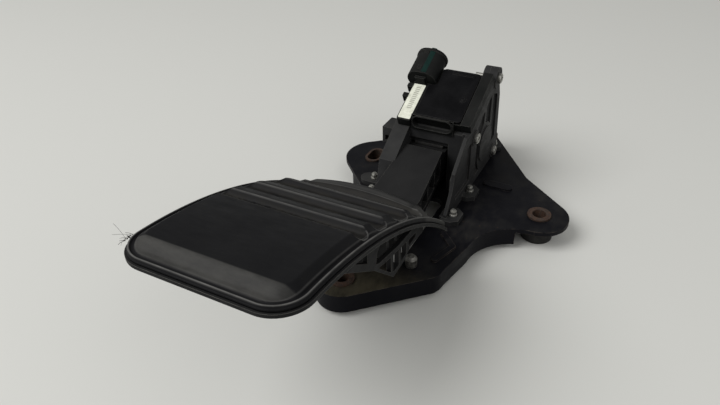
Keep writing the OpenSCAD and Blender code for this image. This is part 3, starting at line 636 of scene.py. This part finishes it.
def make_tread(finish):
    """Curved tread: a grid lifted to its relief, with a wall round its rim and a plain underside."""
    corner_steps = 30
    corner_turns = [math.radians(90.0 * i / corner_steps) for i in range(corner_steps)]
    rows = [(TREAD_FRONT + TREAD_CORNER * (1 - math.cos(t)), TREAD_HALF - TREAD_CORNER * (1 - math.sin(t)))
            for t in corner_turns]
    rear_rows = spaced(((TREAD_FRONT + TREAD_CORNER, 0.9), (-141.0, 0.6), (-130.0, 0.3), (TREAD_REAR, 0.3)))
    rows += [(y, TREAD_HALF) for y in rear_rows]
    from_rim = spaced(((0.0, 0.14), (3.2, 0.28), (8.0, 0.45), (TREAD_HALF, 0.45)))
    columns = [(c - TREAD_HALF) / TREAD_HALF for c in from_rim]
    columns += [-c for c in reversed(columns[:-1])]
    last_row, last_column = len(rows) - 1, len(columns) - 1
    bm = bmesh.new()
    # Marks on the vertices: the pale share, which is dust and a painted reflection, the pale edge share,
    # which is wear and painted highlights, and dirt.
    marks = {name: bm.verts.layers.float.new(name) for name in ("pale_mask", "wear_and_highlight", "grimy")}
    grid = bmesh.ops.create_grid(bm, x_segments=last_column, y_segments=last_row, size=1.0)
    verts = sorted(grid["verts"], key=lambda v: (round(v.co.y, 5), round(v.co.x, 5)))
    # For each point of the rim, its place on the underside with its row and column
    edge_low = {}
    for index, vert in enumerate(verts):
        row, column = divmod(index, len(columns))
        y, half = rows[row]
        x = columns[column] * half
        height, pale_mask, wear_and_highlight, grimy = tread_form(x, y)
        vert.co = on_tread(x, y, height)
        for name, value in (("pale_mask", pale_mask), ("wear_and_highlight", wear_and_highlight), ("grimy", grimy)):
            vert[marks[name]] = value
        if row in (0, last_row) or column in (0, last_column):
            edge_low[vert] = (on_tread(x, y, -TREAD_T), row, column)
    rim = [e for e in bm.edges if e.is_boundary]
    bmesh.ops.extrude_edge_only(bm, edges=rim)
    low = {}
    for edge in rim:
        for vert in edge.verts:
            for link in vert.link_edges:
                other = link.other_vert(vert)
                if other not in edge_low and other.co == vert.co:
                    low[other] = edge_low[vert]
    sides = {0: [], last_column: []}
    for vert, (spot, row, column) in low.items():
        vert.co = spot
        for mark in marks.values():
            vert[mark] = 0.0
        if 0 < row < last_row and column in sides:
            sides[column].append((row, vert))
    chains = []
    for side in sides.values():
        chain = [vert for _, vert in sorted(side, key=lambda pair: pair[0])]
        chains += [bm.edges.get(pair) for pair in zip(chain, chain[1:])]
    bmesh.ops.bridge_loops(bm, edges=chains)
    bmesh.ops.holes_fill(bm, edges=[e for e in bm.edges if e.is_boundary], sides=0)
    bmesh.ops.recalc_face_normals(bm, faces=bm.faces)
    piece = piece_from(bm, "ribbed_tread", finish, "pedal")
    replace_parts(piece, "tread_cover")


def make_springs(finish):
    """The two return springs."""
    for name, node in (("outer_return_spring", "outer_spring"), ("inner_return_spring", "inner_spring")):
        bm = bmesh.new()
        bm.from_mesh(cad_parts[node].data)
        bmesh.ops.remove_doubles(bm, verts=bm.verts, dist=MERGE)
        bmesh.ops.recalc_face_normals(bm, faces=bm.faces)
        spring = piece_from(bm, name, finish, "bracket")
        spring.modifiers.new("corners", "EDGE_SPLIT").split_angle = NODE_CREASE
        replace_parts(spring, node)
        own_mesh(spring)


def roof_place(x, s, n):
    """A point x across, s up the roof's slope from its front edge and n over the roof."""
    return place(x, ROOF_Y + s * math.cos(ROOF_SLOPE) - n * math.sin(ROOF_SLOPE),
                 ROOF_Z + s * math.sin(ROOF_SLOPE) + n * math.cos(ROOF_SLOPE))


def roof_z(y):
    """Height of the roof's slope at a place along Y."""
    return ROOF_Z + (y - ROOF_Y) * math.tan(ROOF_SLOPE)


def prism(outline, axis, low, high, bevel=0.0):
    """A straight solid: an outline drawn across an axis, pushed along it from low to high.

    A bevel rounds the edges that run along the axis.
    """
    turn = {"X": lambda a, b: (low, a, b), "Y": lambda a, b: (a, low, b), "Z": lambda a, b: (a, b, low)}[axis]
    bm = bmesh.new()
    face = bm.faces.new([bm.verts.new(turn(*point)) for point in outline])
    grown = bmesh.ops.extrude_face_region(bm, geom=[face])
    push = Vector([(high - low) if letter == axis else 0.0 for letter in "XYZ"])
    bmesh.ops.translate(bm, verts=[v for v in grown["geom"] if isinstance(v, bmesh.types.BMVert)], vec=push)
    if bevel:
        way = push.normalized()
        corners = [e for e in bm.edges if abs((e.verts[0].co - e.verts[1].co).normalized().dot(way)) > 0.9]
        bmesh.ops.bevel(bm, geom=corners, offset=bevel, segments=5, affect="EDGES", profile=0.5, material=-1)
    bmesh.ops.recalc_face_normals(bm, faces=bm.faces)
    return bm


def block(x0, x1, y0, y1, z0, z1, bevel=0.0):
    """A box between two corners, whose upright edges may be rounded."""
    return prism(((x0, y0), (x1, y0), (x1, y1), (x0, y1)), "Z", z0, z1, bevel)


def pill(a, b, middle, r):
    """A round-ended outline whose arc centres lie at a and b on a line at middle."""
    steps = 14
    turns = [math.pi * i / steps for i in range(steps + 1)]
    right = [(b + r * math.sin(t), middle - r * math.cos(t)) for t in turns]
    left = [(a - r * math.sin(t), middle + r * math.cos(t)) for t in turns]
    return right + left


def disc(middle, r, steps=40):
    """A round outline."""
    turns = [2 * math.pi * i / steps for i in range(steps)]
    return [(middle[0] + r * math.cos(t), middle[1] + r * math.sin(t)) for t in turns]


def shape(name, adds, cuts, finish, body, spot=place, soften=0.0):
    """One closed piece: solids joined, others cut away, then put in its place in the frame."""
    helpers = []
    for bm in adds + cuts:
        mesh = bpy.data.meshes.new("helper")
        bm.to_mesh(mesh)
        bm.free()
        helper = bpy.data.objects.new("helper", mesh)
        bpy.context.scene.collection.objects.link(helper)
        helpers.append(helper)
    base = helpers[0]
    for index, helper in enumerate(helpers[1:], 1):
        step = base.modifiers.new("step", "BOOLEAN")
        step.solver = "EXACT"
        step.operation = "UNION" if index < len(adds) else "DIFFERENCE"
        step.object = helper
    seen = base.evaluated_get(bpy.context.evaluated_depsgraph_get())
    done = bmesh.new()
    done.from_mesh(seen.to_mesh())
    seen.to_mesh_clear()
    for helper in helpers:
        mesh = helper.data
        bpy.data.objects.remove(helper)
        bpy.data.meshes.remove(mesh)
    # Drops the booleans' doubled points and the seams across their flat faces. Still in millimetres here.
    bmesh.ops.remove_doubles(done, verts=done.verts, dist=0.002)
    bmesh.ops.dissolve_limit(done, angle_limit=math.radians(0.5), verts=done.verts, edges=done.edges)
    for vert in done.verts:
        vert.co = spot(*vert.co)
    bmesh.ops.recalc_face_normals(done, faces=done.faces)
    piece = piece_from(done, name, finish, body)
    if soften:
        rounding = piece.modifiers.new("rounding", "BEVEL")
        rounding.width = soften * MM
        rounding.segments = 2
        rounding.limit_method = "ANGLE"
        rounding.angle_limit = CREASE
    split = piece.modifiers.new("corners", "EDGE_SPLIT")
    split.split_angle = CREASE
    return piece


def round_bar(middle, r, x0, x1):
    """A round solid that lies along X."""
    return prism(disc(middle, r), "X", x0, x1)


def make_housing(finish):
    """Pivot housing: two walls, a crossbar over the arm and a roof that rises to the rear."""
    side_view = [(-29, SHEET_Z), (-29, 15.5), (-23, 25), (-21, 33), (-2, 44.6), (ROOF_Y, ROOF_Z),
                 (29, roof_z(29)), (45, 50), (43.5, SHEET_Z)]
    hollow = [(3, BELOW_SHEET), (3, roof_z(3) - 2.5), (29, roof_z(29) - 3.5), (41, 49.2), (41, BELOW_SHEET)]
    mouth = [(-31, BELOW_SHEET), (-31, 38.2), (-1.5, 38.2), (-0.8, 35.5), (3.5, 35.5), (3.5, BELOW_SHEET)]
    # Feet outside the left wall, each from x to x at a y, and ribs up that wall, each at a y up to a z
    feet = ((-28.5, -21.2, -12.5), (-21.2, -19.0, -24.0), (-21.2, -19.0, -1.0))
    ribs = ((10.0, roof_z(10) - 4), (20.0, roof_z(20) - 4), (30.0, 52.0))
    rib_x0, rib_x1, rib_t = -19.2, -17.0, 1.8
    adds = [prism(side_view, "X", -HOUSING_HALF, HOUSING_HALF)]
    adds += [prism(pill(x0, x1, y, FOOT_R), "Z", SHEET_Z, FOOT_TOP) for x0, x1, y in feet]
    adds += [block(rib_x0, rib_x1, y, y + rib_t, SHEET_Z, top) for y, top in ribs]
    adds += [round_bar(SCREWS[2], TOP_BOSS_R, 15, HOUSING_HALF - 0.05)]
    cuts = [prism(hollow, "X", HOUSING_WALL - HOUSING_HALF, HOUSING_HALF + 1),
            prism(mouth, "X", MOUTH_LEFT, MOUTH_RIGHT),
            block(MOUTH_LEFT, HOUSING_HALF + 1, -31, -2.5, BELOW_SHEET, 90)]
    piece = shape("pivot_housing", adds, cuts, finish, "bracket")
    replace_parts(piece, "housing_body")


def make_side_cover(finish):
    """Right wall of the housing, with raised bosses, feet and an ear at its top rear corner."""
    side_view = [(-30, SHEET_Z), (-30, 16), (-23.5, 25), (-21.5, 34), (-7, 46), (ROOF_Y, 46.2),
                 (30, roof_z(30) + 1.2), (40, 56), (43, 48), (46, 18), (46, SHEET_Z)]
    panels = [[(-19, 18), (-19, 31), (-9, 40), (1, 40), (1, 18)],
              [(9, 16), (9, 44), (19, 49), (19, 41), (13, 37), (13, 21), (16, 16)],
              [(21, 41), (21, 50), (29, 53.5), (29, 37), (26, 40)],
              [(31.5, 24), (31.5, 53), (38.5, 50), (40, 24)]]
    front_step = [(-31, 15), (-31, 60), (-4, 60), (-4, 40), (-18, 28), (-19, 15)]
    panel_deep, step_deep = 1.2, 1.6
    root_x, foot_x, foot_corner = 19.0, 27.4, 24.0
    adds = [prism(side_view, "X", HOUSING_HALF, COVER_X),
            round_bar(SCREWS[2], TOP_BOSS_R, HOUSING_HALF, COVER_X + BOSS_H),
            round_bar(PIVOT, 9.4, COVER_X - 1, COVER_X + 0.8)]
    adds += [round_bar(spot, 4.0, COVER_X - 1, COVER_X + BOSS_H) for spot in SCREWS[:2]]
    for y0, y1 in ((-28, -24), (-5, -1)):
        foot = [(root_x, y0 - FOOT_R), (foot_corner, y0 - FOOT_R), (foot_x, y0 - 1.5), (foot_x, y1 + 1.5),
                (foot_corner, y1 + FOOT_R), (root_x, y1 + FOOT_R)]
        adds += [prism(foot, "Z", SHEET_Z, FOOT_TOP)]
    adds += [prism(disc(REAR_FOOT, FOOT_R), "Z", SHEET_Z, FOOT_TOP)]
    cuts = [prism(panel, "X", COVER_X - panel_deep, COVER_X + 2, bevel=1.2) for panel in panels]
    cuts += [prism(front_step, "X", HOUSING_HALF - 1, COVER_X - step_deep)]
    piece = shape("right_side_cover", adds, cuts, finish, "bracket")
    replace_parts(piece, "side_cover")


def make_cover_screws(finish):
    """Pan-head screws with a hexagon socket."""
    seat_x = COVER_X + BOSS_H
    head_r, crown_r, shank_r, socket_r = 2.6, 2.1, 1.2, 1.2
    adds, cuts = [], []
    for spot in SCREWS:
        adds += [round_bar(spot, head_r, seat_x, seat_x + 1.3),
                 round_bar(spot, crown_r, seat_x + 1.2, seat_x + 1.6),
                 round_bar(spot, shank_r, 10, seat_x + 0.1)]
        cuts += [prism(disc(spot, socket_r, 6), "X", seat_x + 0.6, seat_x + 3.4)]
    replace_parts(shape("side_cover_screws", adds, cuts, finish, "bracket"), "cover_screws")


def make_foot_studs(finish):
    """Short studs that hold the feet down, with peened heads."""
    shank_r, washer_r, peen_r = 1.5, 1.9, 1.0
    shank_top, washer_top, peen_top = 17.2, 15.4, 17.8
    adds = []
    for x, y, low_end in STUDS:
        adds += [prism(disc((x, y), shank_r), "Z", low_end, shank_top),
                 prism(disc((x, y), washer_r, 28), "Z", FOOT_TOP, washer_top),
                 prism(disc((x, y), peen_r), "Z", shank_top - 0.1, peen_top)]
    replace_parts(shape("peened_studs", adds, [], finish, "bracket"), "foot_studs")


def shroud_outline(inset):
    """The connector shroud's outline, moved inwards by an inset."""
    return pill(SHROUD_X - SHROUD_REACH, SHROUD_X + SHROUD_REACH, SHROUD_N, SHROUD_R - inset)


def make_sensor_case(finish):
    """Tray on the roof with the connector's shroud moulded on, and the slotted frame at its front."""
    tray = block(TRAY_LEFT, TRAY_RIGHT, 0.4, TRAY_REAR, ON_ROOF, TRAY_H, bevel=0.8)
    right_rail = block(16.6, 21.6, -0.5, 34, 1.9, LID_TOP, bevel=0.5)
    label_shelf = block(TRAY_LEFT, -9.0, TRAY_FRONT, 3, 0.3, TRAY_H, bevel=0.6)
    shroud_foot = block(-15.2, -9.6, 20.7, 23, 2, 9.5, bevel=0.6)
    shroud = prism(shroud_outline(0), "Y", 22, 38.5)
    shroud_rim = prism(shroud_outline(-0.5), "Y", 36.6, 38.2)
    shroud_base = block(-17.5, -9, 22, TRAY_REAR, ON_ROOF, 5, bevel=0.5)
    left_clips = [block(-18.6, -15.8, s, s + 2.6, 1.6, 5.6, bevel=0.4) for s in (11, 17.5)]
    shroud_keys = [block(-14.6, -12.8, s, s + 2.2, 11, 13.1) for s in (24, 35)]
    adds = [tray, right_rail, label_shelf, shroud_foot, shroud, shroud_rim, shroud_base]
    adds += left_clips + shroud_keys
    socket = prism(shroud_outline(SHROUD_WALL), "Y", 28, 40)
    board_well = block(-1.5, 15.2, 6, 30.5, 1.4, 9)
    piece = shape("sensor_case", adds, [socket, board_well], finish, "bracket", roof_place)
    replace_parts(piece, "sensor_body")
    slot_left, slot_right, slot_z = -5.3, 9.3, 47.5
    front_wall = block(-9.0, 13.0, -3.5, 1.5, 43.2, 51.0)
    slot_rim = prism(pill(slot_left, slot_right, slot_z, 3.4), "Y", -4.3, 0)
    slot = prism(pill(slot_left, slot_right, slot_z, 2.75), "Y", -6, 1)
    shape("slot_frame", [front_wall, slot_rim], [slot], finish, "bracket", soften=0.15)


def lid_outline(inset):
    """The lid's outline, stepped in at its left rear beside the shroud, and moved inwards by an inset."""
    left, notch, right = -7.5 + inset, -3.4 + inset, 16.1 - inset
    front, step, rear = 0.8 + inset, 20.8 - inset, 32.2 - inset
    return [(left, front), (right, front), (right, rear), (notch, rear), (notch, step), (left, step)]


def make_lid(finish, seal_finish):
    """Glossy lid with a staked pin and a ridge along its far edge, on its thin seal."""
    sunk = LID_TOP - 0.2
    ridge_top = 7.3
    adds = [prism(lid_outline(0.0), "Z", TRAY_H + SEAL_T, LID_TOP, bevel=1.6),
            prism(disc(LID_PIN, 1.8), "Z", sunk, 7.0),
            block(1.5, 13.6, 29.4, 31.0, sunk, ridge_top, bevel=0.6),
            prism(disc(LID_PIN, 0.8), "Z", 6.9, ridge_top)]
    lid = shape("gloss_lid", adds, [], finish, "bracket", roof_place, soften=0.45)
    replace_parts(lid, "sensor_lid")
    outer = prism(lid_outline(0.3), "Z", TRAY_H, TRAY_H + SEAL_T)
    inner = prism(lid_outline(2.0), "Z", TRAY_H - 1, TRAY_H + 1)
    seal = shape("lid_gasket", [outer], [inner], seal_finish, "bracket", roof_place)
    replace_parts(seal, "lid_seal")


def make_board(finish, chip_finish, pin_finish):
    """Circuit board, its sensor chip and the connector's six contacts."""
    board = shape("sensor_board", [block(-1.2, 14.9, 6.3, 30.2, 1.4, 2.4)], [], finish, "bracket",
                  roof_place)
    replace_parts(board, "circuit_board")
    chip = shape("sensor_chip", [block(-1, 4, 20, 24, 2.4, 3.6)], [], chip_finish, "bracket",
                 roof_place)
    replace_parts(chip, "hall_sensor")
    contacts = []
    for index in range(6):
        x = SHROUD_X - 4 + index * PIN_PITCH
        contacts += [block(x - PIN_HALF, x + PIN_HALF, 26, 34.5, SHROUD_N - PIN_HALF, SHROUD_N + PIN_HALF)]
    pins = shape("contact_pins", contacts, [], pin_finish, "bracket", roof_place)
    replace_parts(pins, "terminal_pins")


def make_insert(finish):
    """Lock strip that runs along the top of the connector's shroud."""
    section = [(-11.9, 11.6), (-9.3, 11.2), (-9.3, 12.55), (-10.6, 12.85), (-11.9, 12.85)]
    strip = shape("lock_strip", [prism(section, "Y", 22.4, 38.9)], [], finish, "bracket",
                  roof_place)
    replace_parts(strip, "connector_insert")


def make_label(finish):
    """Paper label on the shelf beside the lid."""
    sheet = block(-15.7, -9.3, -1.9, 20.5, TRAY_H, TRAY_H + 0.2, bevel=0.5)
    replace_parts(shape("side_label", [sheet], [], finish, "bracket", roof_place), "label")


def under_pad(y):
    """Height just under the pad's backing at a place along Y."""
    return ARC_Z + math.sqrt((ARC_R - BACKING) ** 2 - (y - ARC_Y) ** 2)


def make_pad_truss(finish):
    """Moulded webs under the pad's sides, with cross ribs between them."""
    lower_edge = [(-152, 74.0), (-131, 61.2), (-110, 45.9), (-94.5, 30.6), (-84.5, 31.2), (-78.5, 34.2),
                  (-66, 32.8)]
    upper_edge = [(y, under_pad(y)) for y in range(-66, -153, -2)]
    windows = [[(-128, 62.6), (-114.8, 52.6), (-114.8, 62), (-126, 67)],
               [(-108.6, 47.6), (-107.5, 52.5), (-103, 55.5), (-97, 54.4), (-86, 48.5), (-76.5, 41.4),
                (-91, 42.9), (-105.5, 46.2)],
               [(-106.8, 44.6), (-96.4, 34.2), (-96.4, 41.8)],
               [(-94.6, 33), (-94.6, 41.4), (-89.4, 40.5), (-89.4, 32.9)],
               [(-87.6, 33), (-87.6, 40.1), (-82.6, 39.2), (-82.6, 33.4)],
               [(-80.4, 35.3), (-80.4, 38.6), (-73.5, 37.4), (-73.5, 35.6)]]
    for side, x0, x1 in WEB_SIDES:
        web = prism(lower_edge + upper_edge, "X", x0, x1)
        holes = [prism(window, "X", x0 - 1, x1 + 1, bevel=0.5) for window in windows]
        shape(f"{side}_truss_web", [web], holes, finish, "pedal")
    # Cross ribs, each at a y with its lower edge at a z
    ribs = ((-148, 71.5), (-131, 62.4), (-113, 49.5), (-95.4, 39.4), (-88.5, 38.6), (-81.7, 37.0))
    adds = [block(-20.7, 22.5, y - RIB_HALF, y + RIB_HALF, z, under_pad(y)) for y, z in ribs]
    shape("truss_cross_ribs", adds, [], finish, "pedal")


def make_fibre_tuft(finish):
    """Lint caught at the pad's front left corner, with two long loose hairs."""
    draw = random.Random(5)
    steps = 7
    bend = 0.16
    bm = bmesh.new()
    root = on_tread(-TREAD_HALF + 0.6, TREAD_FRONT + 7.0, 0.3)
    # Length, turn and lift in degrees, and radius of each strand
    strands = [(draw.uniform(0.9, 2.5), draw.uniform(-70, 70), draw.uniform(-10, 45), 0.09)
               for _ in range(15)]
    strands += [(7.5, -25, 12, 0.045), (6.0, 25, 5, 0.05)]
    for length, turn, lift, r in strands:
        course = math.radians(180 + turn)
        ahead = Vector((math.cos(course), math.sin(course), math.tan(math.radians(lift))))
        ahead.normalize()
        spot = root + Vector((0, draw.uniform(-1.6, 1.6), draw.uniform(-0.3, 0.5))) * MM
        sweep = Vector((draw.uniform(-1, 1), draw.uniform(-1, 1), draw.uniform(-1.4, 0.2)))
        aim = Matrix.Translation(spot) @ ahead.to_track_quat("Z", "Y").to_matrix().to_4x4()
        ring = bmesh.ops.create_circle(bm, segments=4, radius=r * MM, cap_ends=True, matrix=aim)
        face = next(iter(ring["verts"][0].link_faces))
        for _ in range(steps):
            face = bmesh.ops.extrude_discrete_faces(bm, faces=[face])["faces"][0]
            bmesh.ops.translate(bm, verts=list(face.verts), vec=ahead * (length / steps * MM))
            ahead = (ahead + sweep * bend).normalized()
    bmesh.ops.holes_fill(bm, edges=[e for e in bm.edges if e.is_boundary], sides=0)
    bmesh.ops.recalc_face_normals(bm, faces=bm.faces)
    piece_from(bm, "fibre_tuft", finish, "pedal")


# Bench, light and camera


def make_bench():
    """Pale matt floor under the pedal."""
    bm = bmesh.new()
    bmesh.ops.create_grid(bm, x_segments=1, y_segments=1, size=6.0)
    mesh = bpy.data.meshes.new("bench")
    bm.to_mesh(mesh)
    bm.free()
    bench = bpy.data.objects.new("bench", mesh)
    bpy.context.scene.collection.objects.link(bench)
    f = Finish("pale_bench", 0.8, specular=0.1)
    f.shader.inputs["Base Color"].default_value = (0.62, 0.62, 0.59, 1.0)
    mesh.materials.append(f.material)


def soft_lamp(name, spot, size, power):
    """A round soft lamp at a spot, in metres, that points at the pedal."""
    lamp = bpy.data.lights.new(name, "AREA")
    lamp.shape = "DISK"
    lamp.size = size
    lamp.energy = power
    holder = bpy.data.objects.new(name, lamp)
    bpy.context.scene.collection.objects.link(holder)
    aim = (LIT_PLACE - Vector(spot)).to_track_quat("-Z", "Y")
    holder.matrix_world = Matrix.Translation(spot) @ aim.to_matrix().to_4x4()


def light_bench():
    """Even pale surroundings, a soft lamp from the front left and a weak one from the right."""
    world = bpy.data.worlds.new("studio")
    world.use_nodes = True
    sky = world.node_tree.nodes["Background"]
    sky.inputs["Color"].default_value = (1.0, 1.0, 0.985, 1.0)
    sky.inputs["Strength"].default_value = 0.40
    bpy.context.scene.world = world
    soft_lamp("front_left_softbox", (-0.75, -0.85, 1.25), size=1.1, power=19.0)
    soft_lamp("right_fill", (0.9, -0.5, 0.9), size=1.0, power=3.5)


def set_camera():
    """The photograph's view: the camera's right, up and backward directions, and its place in metres."""
    camera = bpy.data.cameras.new("camera")
    camera.sensor_width = 36.0
    camera.lens = 30.85
    camera.clip_start = 0.01
    holder = bpy.data.objects.new("camera", camera)
    right = (0.8838, 0.4669, -0.0297)
    up = (-0.2454, 0.5164, 0.8204)
    back = (0.3984, -0.7178, 0.5710)
    spot = (0.0406, -0.250, 0.189)
    rows = [[right[i], up[i], back[i], spot[i]] for i in range(3)]
    holder.matrix_world = Matrix([*rows, [0, 0, 0, 1]])
    bpy.context.scene.collection.objects.link(holder)
    bpy.context.scene.camera = holder


set_camera()
make_bench()
light_bench()

housing_plastic = moulded_finish(
    "housing_plastic", dark=(0.0145, 0.0145, 0.0150), light=(0.026, 0.026, 0.0265),
    pale_tone=(0.055, 0.054, 0.049), edge_tone=(0.085, 0.082, 0.076))
sensor_plastic = moulded_finish(
    "sensor_plastic", dark=(0.0042, 0.0046, 0.0046), light=(0.0080, 0.0085, 0.0084),
    pale_tone=(0.030, 0.029, 0.026), edge_tone=(0.070, 0.068, 0.063), specular=0.08, edge=0.35, dust_most=0.25)
# The lever's pale edge tone is wear and a painted highlight along its backing's rim
lever_plastic = moulded_finish(
    "lever_plastic", dark=(0.0080, 0.0080, 0.0086), light=(0.0115, 0.0115, 0.012),
    pale_tone=(0.050, 0.049, 0.046), edge_tone=(0.13, 0.125, 0.112), edge=0.22, dust_most=0.15)
dipped_steel = plate_finish()
rusted_steel = rust_finish()
dull_zinc = zinc_finish("dull_zinc", dark=(0.17, 0.167, 0.153), light=(0.38, 0.375, 0.34))
grimy_steel = zinc_finish("grimy_steel", dark=(0.07, 0.068, 0.062), light=(0.17, 0.165, 0.15))
plain_steel = steel_finish()
seal_rubber = rubber_finish()
glossy_lid = lid_finish()

dress(["side_clip"], housing_plastic)
dress(["pedal_lever"], lever_plastic)
dress(["mounting_plate"], dipped_steel)
dress(["right_collar", "left_collar", "lower_collar", "top_spacer"], rusted_steel)
dress(["spring_cup", "spring_shoe"], dull_zinc)
dress(["stop_bolt"], grimy_steel)
dress(["left_bush", "right_bush", "pivot_shaft", "magnet"], plain_steel)
dress(["right_standoff", "left_standoff", "lower_standoff", "idle_bumper"], seal_rubber)
make_housing(housing_plastic)
make_side_cover(housing_plastic)
make_cover_screws(dull_zinc)
make_springs(plain_steel)
make_foot_studs(dull_zinc)
make_sensor_case(sensor_plastic)
make_lid(glossy_lid, seal_rubber)
make_board(board_finish(), glossy_lid, plain_steel)
make_insert(insert_finish())
make_label(label_finish())
make_tread(tread_finish())
make_pad_truss(lever_plastic)
make_fibre_tuft(lint_finish())
